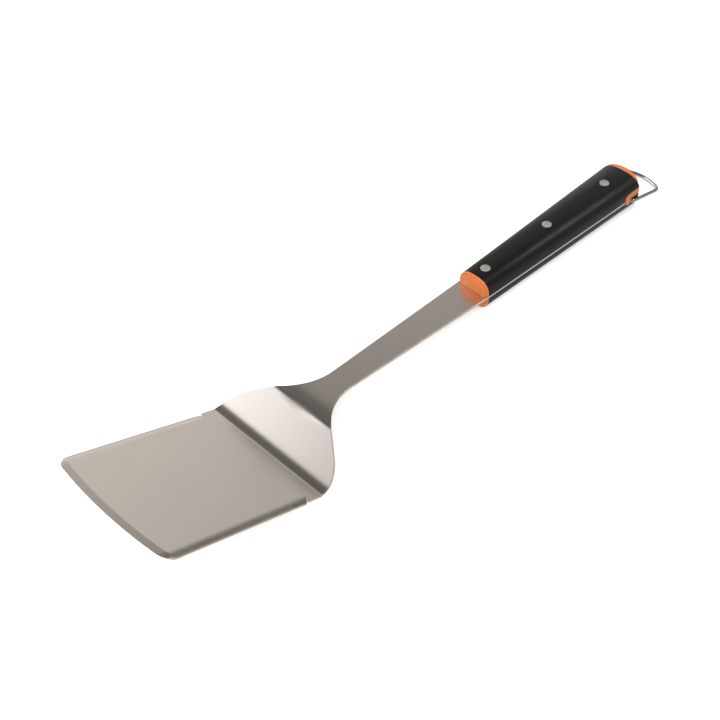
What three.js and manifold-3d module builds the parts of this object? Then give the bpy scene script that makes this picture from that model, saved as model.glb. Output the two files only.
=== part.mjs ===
// Grill spatula: one bent steel blank for blade, shank and full tang, two black handle
// scales, an orange front bolster in two halves, an orange rear cap, three cutler's
// rivets and a wire hanging loop that swings on the handle's sides.
// Millimetres. In the working frame X runs back along the tang from the front face of
// the bolster, Y goes across, and Z is up from the middle of the tang.
import * as THREE from "three";
import { mergeVertices } from "three/addons/utils/BufferGeometryUtils.js";
import Module from "manifold-3d";

const wasm = await Module();
wasm.setup();

// Fits
const SHEET = 1.5;
const GAP = 0.25;
const FAR = 500;

// Handle
const BOLSTER_LENGTH = 3.2;
const BOLSTER_CHAMFER = 0.9;
const CAP_FACE = 162;
const HANDLE_END = 166;
const HALF_HEIGHT = 12.5;
const REST_HEIGHT = 11.4;
const FRONT_HALF_WIDTH = 12.9;
const WIDENING = 0.0287;
const SECTION_POWER = 2.75;
const SECTION_STEPS = 44;
const END_BOW_RADIUS = 34;
const END_CORNER_RADIUS = 3;

// Blade, web and shank
const BLADE_ANGLE = THREE.MathUtils.degToRad(21.4);
const WEB_ANGLE = THREE.MathUtils.degToRad(32.6);
const SHANK_RISE = 0.037;
const BLADE_LENGTH = 131.6;
const BLADE_HALF_WIDTH = { front: 52.5, heel: 51.2 };
const HEEL_X = -183.2;
const HEEL_RADIUS = 14;
const NECK_X = -155.5;
const NECK_RADIUS = 8;
const HEEL_CORNER = { beyondHeel: 7.5, radius: 33 };
const NECK_CORNER = { beyondHeel: 46.4, radius: 40 };
const FRONT_BOW = { depth: 3.5, atHalfWidth: 46 };
const FRONT_CORNER_RADIUS = 8;
const FRONT_BEVEL = { width: 4.6, drop: 0.85 };
const SIDE_ROLL = { width: 5.4, drop: 0.9 };
const SLIT = { fromHeel: 16.8, width: 1.2, inner: 47.2, cornerRadius: 4 };

// Tang behind the ears of the rear cap
const TANG_STEP_X = 145.8;
const TANG_TONGUE_HALF_WIDTH = 9.5;

// Rivets
const RIVET_X = [13.3, 77.3, 141.3];
const RIVET_HEAD = { radius: 3.6, height: 1.3 };
const RIVET_TUBE = { outer: 2.4, inner: 1.7, end: -6 };
const RIVET_PIN = { radius: 1.4, end: 7, boreEnd: 8.5 };
const RIVET_SIDES = 24;

// Hanging loop and the ears that it turns behind
const WIRE_RADIUS = 1.3;
const WIRE_SIDES = 10;
const PIVOT = { x: 153, z: -1.5 };
const LOOP_REACH = 38.5;
const LOOP_CORNER_RADIUS = 8;
const LOOP_CROWN = { rise: 6, radius: 24 };
const LOOP_END_BEND = 2;
const LOOP_STEPS = 104;
const PIVOT_END = 11;
const RELIEF = 16.45;
const EAR = { front: 146, rear: 151.35, top: 5.3, bottom: -3.7, depth: 3.7, strip: 1 };
const LEG_OFFSET = RELIEF + GAP + WIRE_RADIUS;
const LOOP_DROOP = Math.asin((REST_HEIGHT + PIVOT.z - WIRE_RADIUS - 0.1) / LOOP_REACH);

const STEEL = { color: 0xb9b0a6, metalness: 0.95, roughness: 0.38 };
const BRIGHT_STEEL = { color: 0xc9c5c0, metalness: 1, roughness: 0.2 };
const BLACK_PLASTIC = { color: 0x1d1b1a, metalness: 0, roughness: 0.42 };
const ORANGE_PLASTIC = { color: 0xd4702f, metalness: 0, roughness: 0.4 };

// ---------- Helpers ----------

function halfWidth(x) {
  return FRONT_HALF_WIDTH + WIDENING * x;
}

// A closed three.js geometry as a solid that can be cut and joined.
function solidOf(geometry) {
  geometry.deleteAttribute("normal");
  geometry.deleteAttribute("uv");
  const merged = mergeVertices(geometry);
  return new wasm.Manifold(new wasm.Mesh({
    numProp: 3,
    vertProperties: new Float32Array(merged.attributes.position.array),
    triVerts: new Uint32Array(merged.index.array),
  }));
}

function namedMesh(name, solid, look) {
  const { vertProperties, triVerts } = solid.getMesh();
  const geometry = new THREE.BufferGeometry();
  geometry.setAttribute("position", new THREE.BufferAttribute(vertProperties, 3));
  geometry.setIndex(new THREE.BufferAttribute(triVerts, 1));
  geometry.computeVertexNormals();
  const mesh = new THREE.Mesh(geometry, new THREE.MeshStandardMaterial(look));
  mesh.name = name;
  return mesh;
}

function remap(geometry, move) {
  const position = geometry.attributes.position;
  const point = new THREE.Vector3();
  for (let i = 0; i < position.count; i += 1) {
    point.fromBufferAttribute(position, i);
    position.setXYZ(i, ...move(point));
  }
  return geometry;
}

function box(x, y, z) {
  const geometry = new THREE.BoxGeometry(x[1] - x[0], y[1] - y[0], z[1] - z[0]);
  geometry.translate((x[0] + x[1]) / 2, (y[0] + y[1]) / 2, (z[0] + z[1]) / 2);
  return solidOf(geometry);
}

// An outline in X and Y, raised from z0 to z1.
function planPrism(shape, z0, z1) {
  const geometry = new THREE.ExtrudeGeometry(shape, { depth: z1 - z0, bevelEnabled: false });
  return solidOf(geometry.translate(0, 0, z0));
}

// An outline in X and Z, carried across from y0 to y1.
function sidePrism(shape, y0, y1) {
  const geometry = new THREE.ExtrudeGeometry(shape, { depth: y1 - y0, bevelEnabled: false });
  return solidOf(geometry.rotateX(Math.PI / 2).translate(0, y1, 0));
}

function mirrored(solid) {
  return solid.add(solid.mirror([0, 1, 0]));
}

// A line through the corners, each inner corner rounded by an arc of its radius.
function roundedLine(corners, radii, arcSteps = 8) {
  const line = [corners[0]];
  radii.forEach((radius, i) => {
    const corner = corners[i + 1];
    const back = corners[i].clone().sub(corner).normalize();
    const ahead = corners[i + 2].clone().sub(corner).normalize();
    const half = back.angleTo(ahead) / 2;
    const turn = Math.PI - 2 * half;
    const middle = back.clone().add(ahead).normalize();
    const centre = corner.clone().addScaledVector(middle, radius / Math.sin(half));
    const start = corner.clone().addScaledVector(back, radius / Math.tan(half)).sub(centre);
    const side = Math.sign(back.cross(ahead)) * -1;
    for (let step = 0; step <= arcSteps; step += 1) {
      const angle = (side * turn * step) / arcSteps;
      line.push(start.clone().rotateAround(new THREE.Vector2(), angle).add(centre));
    }
  });
  line.push(corners[corners.length - 1]);
  return line;
}

// ---------- Steel blank ----------

const bladeDirection = new THREE.Vector2(-Math.cos(BLADE_ANGLE), Math.sin(BLADE_ANGLE));

// The heel's lowest point touches the ground plane of the handle's flat land.
const heelTurn = (BLADE_ANGLE + WEB_ANGLE) / 2;
const heelSag = HEEL_RADIUS * (1 - Math.cos(BLADE_ANGLE) - Math.tan(heelTurn) * Math.sin(BLADE_ANGLE));
const heel = new THREE.Vector2(HEEL_X, -REST_HEIGHT + SHEET / 2 + heelSag);

function sheetSideLine() {
  const front = heel.clone().addScaledVector(bladeDirection, BLADE_LENGTH);
  const neck = new THREE.Vector2(NECK_X, -SHANK_RISE * NECK_X);
  const bolster = new THREE.Vector2(0, 0);
  const end = new THREE.Vector2(HANDLE_END, 0);
  return roundedLine([front, heel, neck, bolster, end], [HEEL_RADIUS, NECK_RADIUS, 60]);
}

// Position and direction at a distance along a line.
function along(line, distance) {
  let left = distance;
  for (let i = 1; i < line.length; i += 1) {
    const span = line[i].distanceTo(line[i - 1]);
    if (left <= span || i === line.length - 1) {
      const direction = line[i].clone().sub(line[i - 1]).normalize();
      return { point: line[i - 1].clone().addScaledVector(direction, left), direction };
    }
    left -= span;
  }
  return null;
}

const sideLine = sheetSideLine();
const sheetLength = sideLine.slice(1).reduce((sum, p, i) => sum + p.distanceTo(sideLine[i]), 0);
const slitRear = BLADE_LENGTH - SLIT.fromHeel;

// Half width of the flat blank against the distance from its front edge.
const edgeLine = roundedLine([
  new THREE.Vector2(0, BLADE_HALF_WIDTH.front),
  new THREE.Vector2(BLADE_LENGTH + HEEL_CORNER.beyondHeel, BLADE_HALF_WIDTH.heel),
  new THREE.Vector2(BLADE_LENGTH + NECK_CORNER.beyondHeel, halfWidth(-142)),
  new THREE.Vector2(sheetLength, halfWidth(HANDLE_END)),
], [HEEL_CORNER.radius, NECK_CORNER.radius], 12);

function blankHalfWidth(distance) {
  const i = Math.max(1, edgeLine.findIndex((p) => p.x >= distance));
  const [a, b] = [edgeLine[i - 1], edgeLine[i]];
  return a.y + ((b.y - a.y) * (distance - a.x)) / (b.x - a.x);
}

// How far the front edge stands behind its middle, bowed and with round corners.
function frontSetback(y) {
  const bow = FRONT_BOW.depth * (y / FRONT_BOW.atHalfWidth) ** 2;
  const intoCorner = Math.abs(y) - (BLADE_HALF_WIDTH.front - FRONT_CORNER_RADIUS);
  if (intoCorner <= 0) {
    return bow;
  }
  return bow + FRONT_CORNER_RADIUS - Math.sqrt(Math.max(0, FRONT_CORNER_RADIUS ** 2 - intoCorner ** 2));
}

// How far the front bevel lowers the top face.
function bevelDrop(fromFront) {
  return FRONT_BEVEL.drop * Math.max(0, 1 - fromFront / FRONT_BEVEL.width);
}

// How far the blade's sides, in front of the slits, are rolled down.
function rollDrop(y, distance) {
  if (distance > slitRear - 0.5) {
    return 0;
  }
  const intoRoll = Math.abs(y) - (blankHalfWidth(distance) - SIDE_ROLL.width);
  return SIDE_ROLL.drop * Math.max(0, intoRoll / SIDE_ROLL.width) ** 2;
}

function rowDistances() {
  const { width } = FRONT_BEVEL;
  const rows = [0, width / 2, width, 9, 40, 80, slitRear - SLIT.width, slitRear];
  for (let distance = slitRear + 3; distance < BLADE_LENGTH + 70; distance += 2.6) {
    rows.push(distance);
  }
  const kink = sheetLength - HANDLE_END;
  return rows.concat([kink - 4, kink - 1, kink + 1, kink + 4, sheetLength]);
}

function columnFractions() {
  const half = [0.3, 0.6, 0.8, 1 - SIDE_ROLL.width / BLADE_HALF_WIDTH.front, 0.93, 0.96, 0.985, 1];
  return [...half.map((f) => -f).reverse(), 0, ...half];
}

function bentBlank() {
  const rows = rowDistances();
  const columns = columnFractions();
  const [rowCount, columnCount] = [rows.length - 1, columns.length - 1];
  const geometry = new THREE.BoxGeometry(1, 1, 1, rowCount, columnCount, 1);
  return solidOf(remap(geometry, (p) => {
    const row = rows[Math.round((p.x + 0.5) * rowCount)];
    const fraction = columns[Math.round((p.y + 0.5) * columnCount)];
    const setback = row < slitRear ? frontSetback(fraction * BLADE_HALF_WIDTH.front) : 0;
    const distance = setback * (1 - row / slitRear) + row;
    const y = fraction * blankHalfWidth(distance);
    const { point, direction } = along(sideLine, distance);
    const roll = rollDrop(y, distance);
    const drop = p.z > 0 ? Math.max(bevelDrop(row), roll) : roll;
    const lift = Math.sign(p.z) * SHEET / 2 - drop;
    return [point.x - direction.y * lift, y, point.y + direction.x * lift];
  }));
}

// The narrow slit at each side of the heel, with the blade's corner rounded off.
function slitCut() {
  const front = slitRear - SLIT.width;
  const edge = BLADE_HALF_WIDTH.heel + 0.2;
  const outside = edge + 2;
  const radius = SLIT.cornerRadius;
  const shape = new THREE.Shape();
  shape.moveTo(slitRear, SLIT.inner);
  shape.lineTo(slitRear, outside);
  shape.lineTo(front - radius, outside);
  shape.lineTo(front - radius, edge);
  shape.quadraticCurveTo(front, edge, front, edge - radius);
  shape.lineTo(front, SLIT.inner);
  const geometry = new THREE.ExtrudeGeometry(shape, { depth: 6, bevelEnabled: false, curveSegments: 6 });
  geometry.translate(0, 0, -3);
  const frontPoint = along(sideLine, 0).point;
  geometry.rotateY(BLADE_ANGLE);
  return mirrored(solidOf(geometry.translate(frontPoint.x, 0, frontPoint.y)));
}

function rivetHoles(radius, z0, z1) {
  const holes = RIVET_X.map((x) => {
    const cylinder = new THREE.CylinderGeometry(radius, radius, z1 - z0, RIVET_SIDES);
    return solidOf(cylinder.rotateX(Math.PI / 2).translate(x, 0, (z0 + z1) / 2));
  });
  return wasm.Manifold.union(holes);
}

function bladeAndTang() {
  const behindStep = mirrored(box(
    [TANG_STEP_X, HANDLE_END + 2],
    [TANG_TONGUE_HALF_WIDTH, 30],
    [-3, 3],
  ));
  const blank = bentBlank()
    .subtract(slitCut())
    .subtract(behindStep)
    .subtract(rivetHoles(RIVET_TUBE.outer + GAP, -3, 3));
  const pastEnd = handlePlan();
  return namedMesh("blade_and_tang", blank.intersect(pastEnd), STEEL);
}

// ---------- Handle body ----------

// Half section with a unit half width: a superellipse over a flat land.
function handleSection() {
  const land = Math.asin((REST_HEIGHT / HALF_HEIGHT) ** (SECTION_POWER / 2));
  const points = [];
  for (let step = 0; step <= SECTION_STEPS; step += 1) {
    const angle = -land + ((Math.PI + 2 * land) * step) / SECTION_STEPS;
    const across = Math.sign(Math.cos(angle)) * Math.abs(Math.cos(angle)) ** (2 / SECTION_POWER);
    const up = Math.sign(Math.sin(angle)) * Math.abs(Math.sin(angle)) ** (2 / SECTION_POWER);
    points.push(new THREE.Vector2(across, up * HALF_HEIGHT));
  }
  return new THREE.Shape(points);
}

function handleBody(x0, x1) {
  const geometry = new THREE.ExtrudeGeometry(handleSection(), { depth: x1 - x0, bevelEnabled: false });
  return solidOf(remap(geometry, (p) => [x0 + p.z, p.x * halfWidth(x0 + p.z), p.y]));
}

// Everything in front of the handle's bowed rear end.
function handlePlan() {
  const side = halfWidth(HANDLE_END) + 1;
  const bowCentre = HANDLE_END - END_BOW_RADIUS;
  const corner = halfWidth(HANDLE_END) - END_CORNER_RADIUS;
  const angle = Math.asin(corner / END_BOW_RADIUS);
  const cornerX = bowCentre + END_BOW_RADIUS * Math.cos(angle);
  const shape = new THREE.Shape();
  shape.moveTo(-FAR, -60);
  shape.lineTo(-200, -60);
  shape.lineTo(-100, -side);
  shape.lineTo(cornerX - END_CORNER_RADIUS, -side);
  shape.quadraticCurveTo(cornerX - 1, -side, cornerX, -corner);
  shape.absarc(bowCentre, 0, END_BOW_RADIUS, -angle, angle, false);
  shape.quadraticCurveTo(cornerX - 1, side, cornerX - END_CORNER_RADIUS, side);
  shape.lineTo(-100, side);
  shape.lineTo(-200, 60);
  shape.lineTo(-FAR, 60);
  return planPrism(shape, -60, 60);
}

const above = (z) => box([-FAR, FAR], [-FAR, FAR], [z, FAR]);
const below = (z) => box([-FAR, FAR], [-FAR, FAR], [-FAR, z]);
const outside = (y) => mirrored(box([-FAR, FAR], [y, FAR], [-FAR, FAR]));
const tangTop = SHEET / 2 + GAP;

// The room that the loop's legs sweep beside the handle.
const legRelief = mirrored(box([EAR.rear, FAR], [RELIEF, FAR], [-FAR, FAR]));

// Outline of an ear and the strip that joins it to the cap, grown by a margin.
function earShape(margin) {
  const front = EAR.front - margin;
  const rear = EAR.rear + margin;
  const top = EAR.top + margin;
  const bottom = EAR.bottom - margin;
  const strip = EAR.strip - margin;
  const end = CAP_FACE + 2 + margin;
  const shape = new THREE.Shape();
  shape.moveTo(end, top);
  shape.lineTo(front + 4.5, top);
  shape.quadraticCurveTo(front, top, front, top - 4);
  shape.quadraticCurveTo(front, bottom + 2.2, rear - 2.6, bottom);
  shape.lineTo(rear - 0.8, bottom);
  shape.quadraticCurveTo(rear, bottom, rear, bottom + 0.8);
  shape.lineTo(rear, strip);
  shape.lineTo(end, strip);
  return shape;
}

function earBlocks(margin) {
  const inner = halfWidth(EAR.front) - EAR.depth - margin;
  const slab = sidePrism(earShape(margin), inner, 30);
  return mirrored(slab);
}

function upperScale() {
  const scale = handleBody(BOLSTER_LENGTH + GAP, CAP_FACE - GAP)
    .intersect(above(tangTop))
    .subtract(earBlocks(GAP))
    .subtract(legRelief)
    .subtract(rivetHoles(RIVET_TUBE.outer + GAP, -1, 20))
    .subtract(rivetHoles(RIVET_HEAD.radius + GAP, HALF_HEIGHT - RIVET_HEAD.height - GAP, 20));
  return namedMesh("upper_scale", scale, BLACK_PLASTIC);
}

// The lower scale fills the corners beside the tang's tongue, where the loop turns.
function lowerScale() {
  const shoulder = handleBody(TANG_STEP_X + GAP, HANDLE_END)
    .intersect(below(SHEET / 2))
    .intersect(outside(TANG_TONGUE_HALF_WIDTH + GAP));
  const pivotHole = new THREE.CylinderGeometry(WIRE_RADIUS + 0.3, WIRE_RADIUS + 0.3, 20, 16);
  const holeCentre = PIVOT_END - GAP + 10;
  const scale = handleBody(BOLSTER_LENGTH + GAP, HANDLE_END)
    .intersect(below(-tangTop))
    .add(shoulder)
    .intersect(handlePlan())
    .subtract(earBlocks(GAP))
    .subtract(legRelief)
    .subtract(mirrored(solidOf(pivotHole.translate(PIVOT.x, holeCentre, PIVOT.z))))
    .subtract(rivetHoles(RIVET_TUBE.outer + GAP, -20, 1))
    .subtract(rivetHoles(RIVET_HEAD.radius + GAP, -20, -REST_HEIGHT + RIVET_HEAD.height + GAP));
  return namedMesh("lower_scale", scale, BLACK_PLASTIC);
}

// ---------- Orange fittings ----------

function bolsterBody() {
  const options = { depth: 2, steps: 2, bevelEnabled: false };
  const geometry = new THREE.ExtrudeGeometry(handleSection(), options);
  return solidOf(remap(geometry, (p) => {
    const x = [0, BOLSTER_CHAMFER, BOLSTER_LENGTH][Math.round(p.z)];
    const shrink = p.z < 0.5 ? BOLSTER_CHAMFER : 0;
    const height = p.y * (1 - shrink / HALF_HEIGHT);
    return [x, p.x * (halfWidth(x) - shrink), Math.max(height, -REST_HEIGHT)];
  }));
}

function bolsterHalves() {
  const body = bolsterBody();
  return [
    namedMesh("bolster_upper", body.intersect(above(tangTop)), ORANGE_PLASTIC),
    namedMesh("bolster_lower", body.intersect(below(-tangTop)), ORANGE_PLASTIC),
  ];
}

function rearCap() {
  const plate = handleBody(CAP_FACE, HANDLE_END).intersect(above(tangTop));
  const ears = handleBody(EAR.front, HANDLE_END).intersect(earBlocks(0));
  const cap = plate.add(ears).intersect(handlePlan()).subtract(legRelief);
  return namedMesh("rear_cap", cap, ORANGE_PLASTIC);
}

// ---------- Rivets ----------

function turned(profile, x) {
  const points = profile.map(([radius, z]) => new THREE.Vector2(radius, z));
  const geometry = new THREE.LatheGeometry(points, RIVET_SIDES);
  return solidOf(geometry.rotateX(Math.PI / 2).translate(x, 0, 0));
}

// The tube half comes from above and the pin half from below, pressed into the tube.
function rivetHalves(x, index) {
  const top = HALF_HEIGHT - 0.05;
  const underHead = top - RIVET_HEAD.height;
  const tube = turned([
    [0, RIVET_PIN.boreEnd],
    [RIVET_TUBE.inner, RIVET_PIN.boreEnd],
    [RIVET_TUBE.inner, RIVET_TUBE.end],
    [RIVET_TUBE.outer, RIVET_TUBE.end],
    [RIVET_TUBE.outer, underHead],
    [RIVET_HEAD.radius, underHead],
    [RIVET_HEAD.radius, top - 0.15],
    [RIVET_HEAD.radius - 0.3, top],
    [0, top],
  ], x);
  const foot = -REST_HEIGHT + 0.05;
  const pin = turned([
    [0, foot],
    [RIVET_HEAD.radius - 0.3, foot],
    [RIVET_HEAD.radius, foot + 0.15],
    [RIVET_HEAD.radius, foot + RIVET_HEAD.height],
    [RIVET_PIN.radius, foot + RIVET_HEAD.height],
    [RIVET_PIN.radius, RIVET_PIN.end],
    [0, RIVET_PIN.end],
  ], x);
  return [
    namedMesh(`rivet_tube_${index + 1}`, tube, BRIGHT_STEEL),
    namedMesh(`rivet_pin_${index + 1}`, pin, BRIGHT_STEEL),
  ];
}

// ---------- Hanging loop ----------

// Wire bent in one plane: in through the side, back along the handle and across in a bow.
function loopPath() {
  const lean = Math.hypot(LOOP_CROWN.rise, LEG_OFFSET) / LEG_OFFSET;
  const crown = LOOP_REACH + LOOP_CROWN.radius * (lean - 1);
  const corners = [
    [0, -PIVOT_END],
    [0, -LEG_OFFSET],
    [crown - LOOP_CROWN.rise, -LEG_OFFSET],
    [crown, 0],
    [crown - LOOP_CROWN.rise, LEG_OFFSET],
    [0, LEG_OFFSET],
    [0, PIVOT_END],
  ].map(([out, y]) => new THREE.Vector2(out, y));
  const radii = [
    LOOP_END_BEND,
    LOOP_CORNER_RADIUS,
    LOOP_CROWN.radius,
    LOOP_CORNER_RADIUS,
    LOOP_END_BEND,
  ];
  const path = new THREE.CurvePath();
  const line = roundedLine(corners, radii, 10).map((p) => new THREE.Vector3(
    PIVOT.x + p.x * Math.cos(LOOP_DROOP),
    p.y,
    PIVOT.z - p.x * Math.sin(LOOP_DROOP),
  ));
  for (let i = 1; i < line.length; i += 1) {
    path.add(new THREE.LineCurve3(line[i - 1], line[i]));
  }
  return path;
}

function hangingLoop() {
  const circle = [];
  for (let side = 0; side < WIRE_SIDES; side += 1) {
    const angle = (2 * Math.PI * side) / WIRE_SIDES;
    circle.push(new THREE.Vector2(Math.cos(angle), Math.sin(angle)).multiplyScalar(WIRE_RADIUS));
  }
  const options = { steps: LOOP_STEPS, extrudePath: loopPath(), bevelEnabled: false };
  const wire = solidOf(new THREE.ExtrudeGeometry(new THREE.Shape(circle), options));
  return namedMesh("hanging_loop", wire, BRIGHT_STEEL);
}

// ---------- Assembly ----------

const spatula = new THREE.Group();
spatula.add(
  bladeAndTang(),
  upperScale(),
  lowerScale(),
  ...bolsterHalves(),
  rearCap(),
  ...RIVET_X.flatMap(rivetHalves),
  hangingLoop(),
);

// The origin is under the middle of the whole object, on the surface that it rests on.
const bounds = new THREE.Box3().setFromObject(spatula);
const centre = bounds.getCenter(new THREE.Vector3());
spatula.position.set(-centre.x, -centre.y, -bounds.min.z);

const group = new THREE.Group();
group.add(spatula);
export default group;
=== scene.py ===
import math

import bmesh
import bpy
from mathutils import Matrix, Vector


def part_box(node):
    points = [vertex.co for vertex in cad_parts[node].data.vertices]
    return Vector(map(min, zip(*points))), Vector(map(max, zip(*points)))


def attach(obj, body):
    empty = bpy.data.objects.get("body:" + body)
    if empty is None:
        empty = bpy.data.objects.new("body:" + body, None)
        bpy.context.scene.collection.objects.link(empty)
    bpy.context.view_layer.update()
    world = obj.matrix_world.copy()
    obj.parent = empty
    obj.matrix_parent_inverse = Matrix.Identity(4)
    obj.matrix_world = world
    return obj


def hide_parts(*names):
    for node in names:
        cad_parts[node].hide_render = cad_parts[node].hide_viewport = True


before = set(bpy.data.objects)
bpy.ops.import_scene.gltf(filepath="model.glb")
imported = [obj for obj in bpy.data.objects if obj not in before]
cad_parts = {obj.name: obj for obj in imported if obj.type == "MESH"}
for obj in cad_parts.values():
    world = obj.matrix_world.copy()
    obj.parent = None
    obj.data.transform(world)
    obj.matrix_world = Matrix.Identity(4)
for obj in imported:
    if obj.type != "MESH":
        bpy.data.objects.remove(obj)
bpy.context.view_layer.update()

# ---------- Camera ----------
# A long lens, a metre away and about 45 degrees above the table, from the blade's near side.
camera = bpy.data.objects.new("camera", bpy.data.cameras.new("camera"))
camera.data.lens = 68.64
camera.location = (-0.46254, -0.46553, 0.64951)
camera.rotation_euler = [math.radians(angle) for angle in (44.716, 2.380, -44.012)]
bpy.context.collection.objects.link(camera)
bpy.context.scene.camera = camera

# ---------- Steel blank: blade, web, shank and full tang ----------
# One piece of 1.5 mm cold-rolled stainless sheet. It is blanked flat with a narrow relief slit at
# each side of the heel, the blade's sides are rolled down a little, the front edge is ground to a
# bevel, and the heel and neck are bent in a press. Belt brushed along its length.
SHEET = 1.5
BLADE_ANGLE = math.radians(21.71)
BLADE_LENGTH = 129.56
BLADE_HALF_WIDTH_FRONT = 52.37
BLADE_HALF_WIDTH_HEEL = 51.2
HEEL = Vector((-185.4, -12.2))
HEEL_FIRST_TURN = math.radians(23)
HEEL_FIRST_RADIUS = 4
HEEL_SECOND_RADIUS = 21
HEEL_FLAT = 6.7
NECK_X = -155.5
NECK_RADIUS_SIDE = 8
NECK_RADIUS_MIDDLE = 21
NECK_BOW_HALF_WIDTH = 22
NECK_RUN_OUT = 9
NECK_RUN_OUT_RADIUS = 75
NECK_RUN_OUT_ANGLE = math.radians(5.5)
SHANK_RISE = 0.037
TANG_BEND_RADIUS = 60
HEEL_CORNER = 139.1
HEEL_CORNER_RADIUS = 33
NECK_CORNER = 178
NECK_CORNER_X = -142
NECK_CORNER_RADIUS = 40
FRONT_BOW_DEPTH = 3.5
FRONT_BOW_HALF_WIDTH = 46
FRONT_CORNER_RADIUS = 8
FRONT_BEVEL_WIDTH = 4.6
FRONT_BEVEL_DROP = 0.92
SIDE_ROLL_WIDTH = 5.2
SIDE_ROLL_DROP = 1.1
ROLL_END_LENGTH = 9
ROLL_END_DROP = 0.6
ROLL_END_NARROWING = 1.0
SLIT_REAR = 114.8
SLIT_WIDTH = 0.8
SLIT_INNER = 47.2
SLIT_CORNER_RADIUS = 2
SHEET_EDGE_ROUNDING = 0.14
HANDLE_END = 166
FRONT_HALF_WIDTH = 12.9
WIDENING = 0.0287
TONGUE_X = 145.8
TONGUE_HALF_WIDTH = 9.5
END_BOW_RADIUS = 34
RIVET_X = (13.3, 77.3, 141.3)
RIVET_SHANK_RADIUS = 2.4
RIVET_PLAY = 0.1
SHANK_START = BLADE_LENGTH + 60

# Pieces are drawn in millimetres from the front face of the bolster, at mid-tang height.
bolster_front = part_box("bolster_upper")[0].x
tang_height = (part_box("bolster_upper")[0].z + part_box("bolster_lower")[1].z) / 2
MILLIMETRE = 0.001
TO_FRAME = Matrix.Translation((bolster_front, 0, tang_height)) @ Matrix.Scale(MILLIMETRE, 4)


def linear(hex_colour):
    """An sRGB hex value as the linear colour that a shader takes."""
    channels = [int(hex_colour[i:i + 2], 16) / 255 for i in (1, 3, 5)]
    return [c / 12.92 if c <= 0.04045 else ((c + 0.055) / 1.055) ** 2.4 for c in channels] + [1]


def add_node(tree, kind, inputs=None, **settings):
    """Adds a node, sets its properties, and sets or links each of its inputs."""
    node = tree.nodes.new(kind)
    for name, value in settings.items():
        setattr(node, name, value)
    for name, value in (inputs or {}).items():
        if isinstance(value, bpy.types.NodeSocket):
            tree.links.new(value, node.inputs[name])
        else:
            node.inputs[name].default_value = value
    return node


def new_material(name, sockets):
    """A material with its average finish, of which patterns may take over single sockets."""
    material = bpy.data.materials.new(name)
    material.use_nodes = True
    shader = material.node_tree.nodes["Principled BSDF"]
    for socket, value in sockets.items():
        shader.inputs[socket].default_value = value
    return material, material.node_tree, shader


def noise(tree, place, cell, detail, roughness=0.5):
    """A cloudy pattern whose cells have a given size."""
    return add_node(tree, "ShaderNodeTexNoise", {
        "Vector": place, "Scale": 1 / cell, "Detail": detail, "Roughness": roughness,
    }).outputs["Fac"]


def mapped(tree, value, given, wanted):
    """A value taken from a given range to the wanted one."""
    return add_node(tree, "ShaderNodeMapRange", {
        "Value": value, "From Min": given[0], "From Max": given[1], "To Min": wanted[0], "To Max": wanted[1],
    }).outputs["Result"]


def tinted(tree, factor, first, second):
    """A colour between two, by a factor."""
    return add_node(tree, "ShaderNodeMix", {
        "Factor": factor, "A": linear(first), "B": linear(second),
    }, data_type="RGBA").outputs["Result"]


def grained(tree, height, strength, depth):
    """A surface direction that follows a pattern of small pits."""
    return add_node(tree, "ShaderNodeBump", {
        "Height": height, "Strength": strength, "Distance": depth,
    }).outputs["Normal"]


def link_patterns(tree, shader, patterns):
    for socket, pattern in patterns.items():
        tree.links.new(pattern, shader.inputs[socket])


def handle_half_width(x):
    return FRONT_HALF_WIDTH + WIDENING * x


def bent_line(corners, radii):
    """Straight runs and arcs through the corners, each as start, heading, length and curvature."""
    headings = [math.atan2(*reversed(b - a)) for a, b in zip(corners, corners[1:])]
    runs = []
    here = corners[0]
    for corner, radius, heading, following in zip(corners[1:], radii, headings, headings[1:]):
        turn = (following - heading + math.pi) % math.tau - math.pi
        tangent = radius * math.tan(abs(turn) / 2)
        straight = (corner - here).length - tangent
        direction = Vector((math.cos(heading), math.sin(heading)))
        runs.append((here, heading, straight, 0))
        runs.append((here + direction * straight, heading, radius * abs(turn), turn / abs(turn) / radius))
        here = corner + Vector((math.cos(following), math.sin(following))) * tangent
    runs.append((here, headings[-1], (corners[-1] - here).length, 0))
    return runs


def along(runs, distance):
    """Point and heading at a distance along such a line."""
    for start, heading, length, curvature in runs:
        if distance <= length or start is runs[-1][0]:
            break
        distance -= length
    if curvature == 0:
        return start + Vector((math.cos(heading), math.sin(heading))) * distance, heading
    now = heading + curvature * distance
    step = Vector((math.sin(now) - math.sin(heading), math.cos(heading) - math.cos(now)))
    return start + step / curvature, now


def side_view(neck_radius):
    """The blank seen from the side, as runs of a bent line."""
    blade = Vector((math.cos(BLADE_ANGLE), -math.sin(BLADE_ANGLE)))
    front = HEEL - blade * BLADE_LENGTH
    neck = Vector((NECK_X, -SHANK_RISE * NECK_X))
    run_out = neck + Vector((NECK_RUN_OUT, -SHANK_RISE * NECK_RUN_OUT))
    web = neck - HEEL
    web_angle = math.atan2(web.y, web.x) + math.atan(SHANK_RISE)
    shortening = NECK_RUN_OUT * math.sin(NECK_RUN_OUT_ANGLE) / math.sin(web_angle - NECK_RUN_OUT_ANGLE)
    heel_angle = math.atan2(web.y, web.x) + BLADE_ANGLE
    before = HEEL_FLAT * math.sin(heel_angle - HEEL_FIRST_TURN) / math.sin(heel_angle)
    after = HEEL_FLAT * math.sin(HEEL_FIRST_TURN) / math.sin(heel_angle)
    heel = [HEEL - blade * before, HEEL + web.normalized() * after]
    neck = neck - web.normalized() * shortening
    end = Vector((HANDLE_END, 0))
    radii = [HEEL_FIRST_RADIUS, HEEL_SECOND_RADIUS, neck_radius, NECK_RUN_OUT_RADIUS, TANG_BEND_RADIUS]
    return bent_line([front, *heel, neck, run_out, Vector((0, 0)), end], radii)


def length_of(runs):
    return sum(run[2] for run in runs)


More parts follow.
